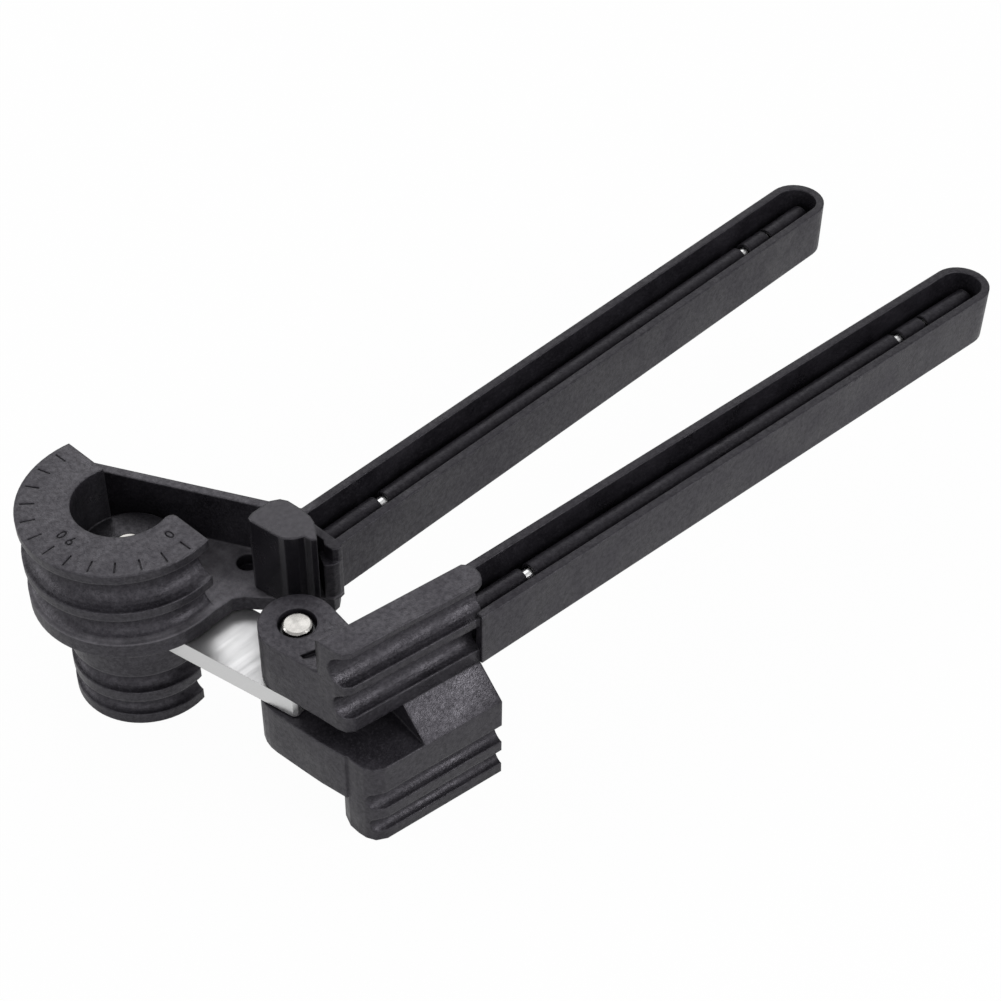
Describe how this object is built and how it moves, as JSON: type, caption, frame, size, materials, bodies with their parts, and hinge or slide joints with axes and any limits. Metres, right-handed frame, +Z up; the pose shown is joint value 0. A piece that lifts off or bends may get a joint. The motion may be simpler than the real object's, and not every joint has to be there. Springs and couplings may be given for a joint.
{
  "type": "tube bender",
  "caption": "Hand tube bender with a stepped half-round former, a scale, a linked lever with stepped shoes, a turning retaining block and long open-topped handles.",
  "frame": {"origin": "middle of the tool's outline seen from above, on the bottom plane of the lower former and the lower shoe", "axes": "+X along the former handle towards its tip, +Y from the lever towards the former, +Z up along the hinge axes towards the scale"},
  "size_m": [0.2704, 0.1282, 0.0635],
  "materials": {
    "nylon": "moulded black, slightly mottled satin",
    "link_steel": "bright rolled plate",
    "rod_steel": "drawn bar",
    "pin_steel": "polished and plated",
    "washer_steel": "dark plated",
    "clip_steel": "blackened spring steel",
    "bronze": "turned bronze"
  },
  "bodies": {
    "former": {"former_handle": "nylon", "former_handle_rod": "rod_steel", "lower_former": "nylon", "former_pin": "pin_steel", "former_pin_washer": "washer_steel", "former_pin_lower_washer": "washer_steel", "former_pin_clip": "clip_steel", "retaining_peg": "pin_steel", "retaining_peg_clip": "clip_steel"},
    "link": {"link_plate": "link_steel", "link_former_bush": "bronze", "link_lever_bush": "bronze"},
    "lever": {"lever_handle": "nylon", "lever_handle_rod": "rod_steel", "lever_pin": "pin_steel", "lever_pin_washer": "washer_steel", "lever_pin_lower_washer": "washer_steel", "lever_pin_clip": "clip_steel"},
    "block": {"retaining_block": "nylon"}
  },
  "joints": [
    {"name": "link_swing", "type": "hinge", "parent": "former", "child": "link", "pos_m": [-0.10843, 0.03728, 0.0309], "axis": [0, 0, -1], "range_deg": [-2, 190]},
    {"name": "lever_swing", "type": "hinge", "parent": "link", "child": "lever", "pos_m": [-0.09863, -0.01612, 0.0309], "axis": [0, 0, -1], "range_deg": [-5, 160]},
    {"name": "retaining_block_turn", "type": "hinge", "parent": "former", "child": "block", "pos_m": [-0.08443, 0.00328, 0.0515], "axis": [0, 0, -1], "range_deg": [0, 30]}
  ]
}
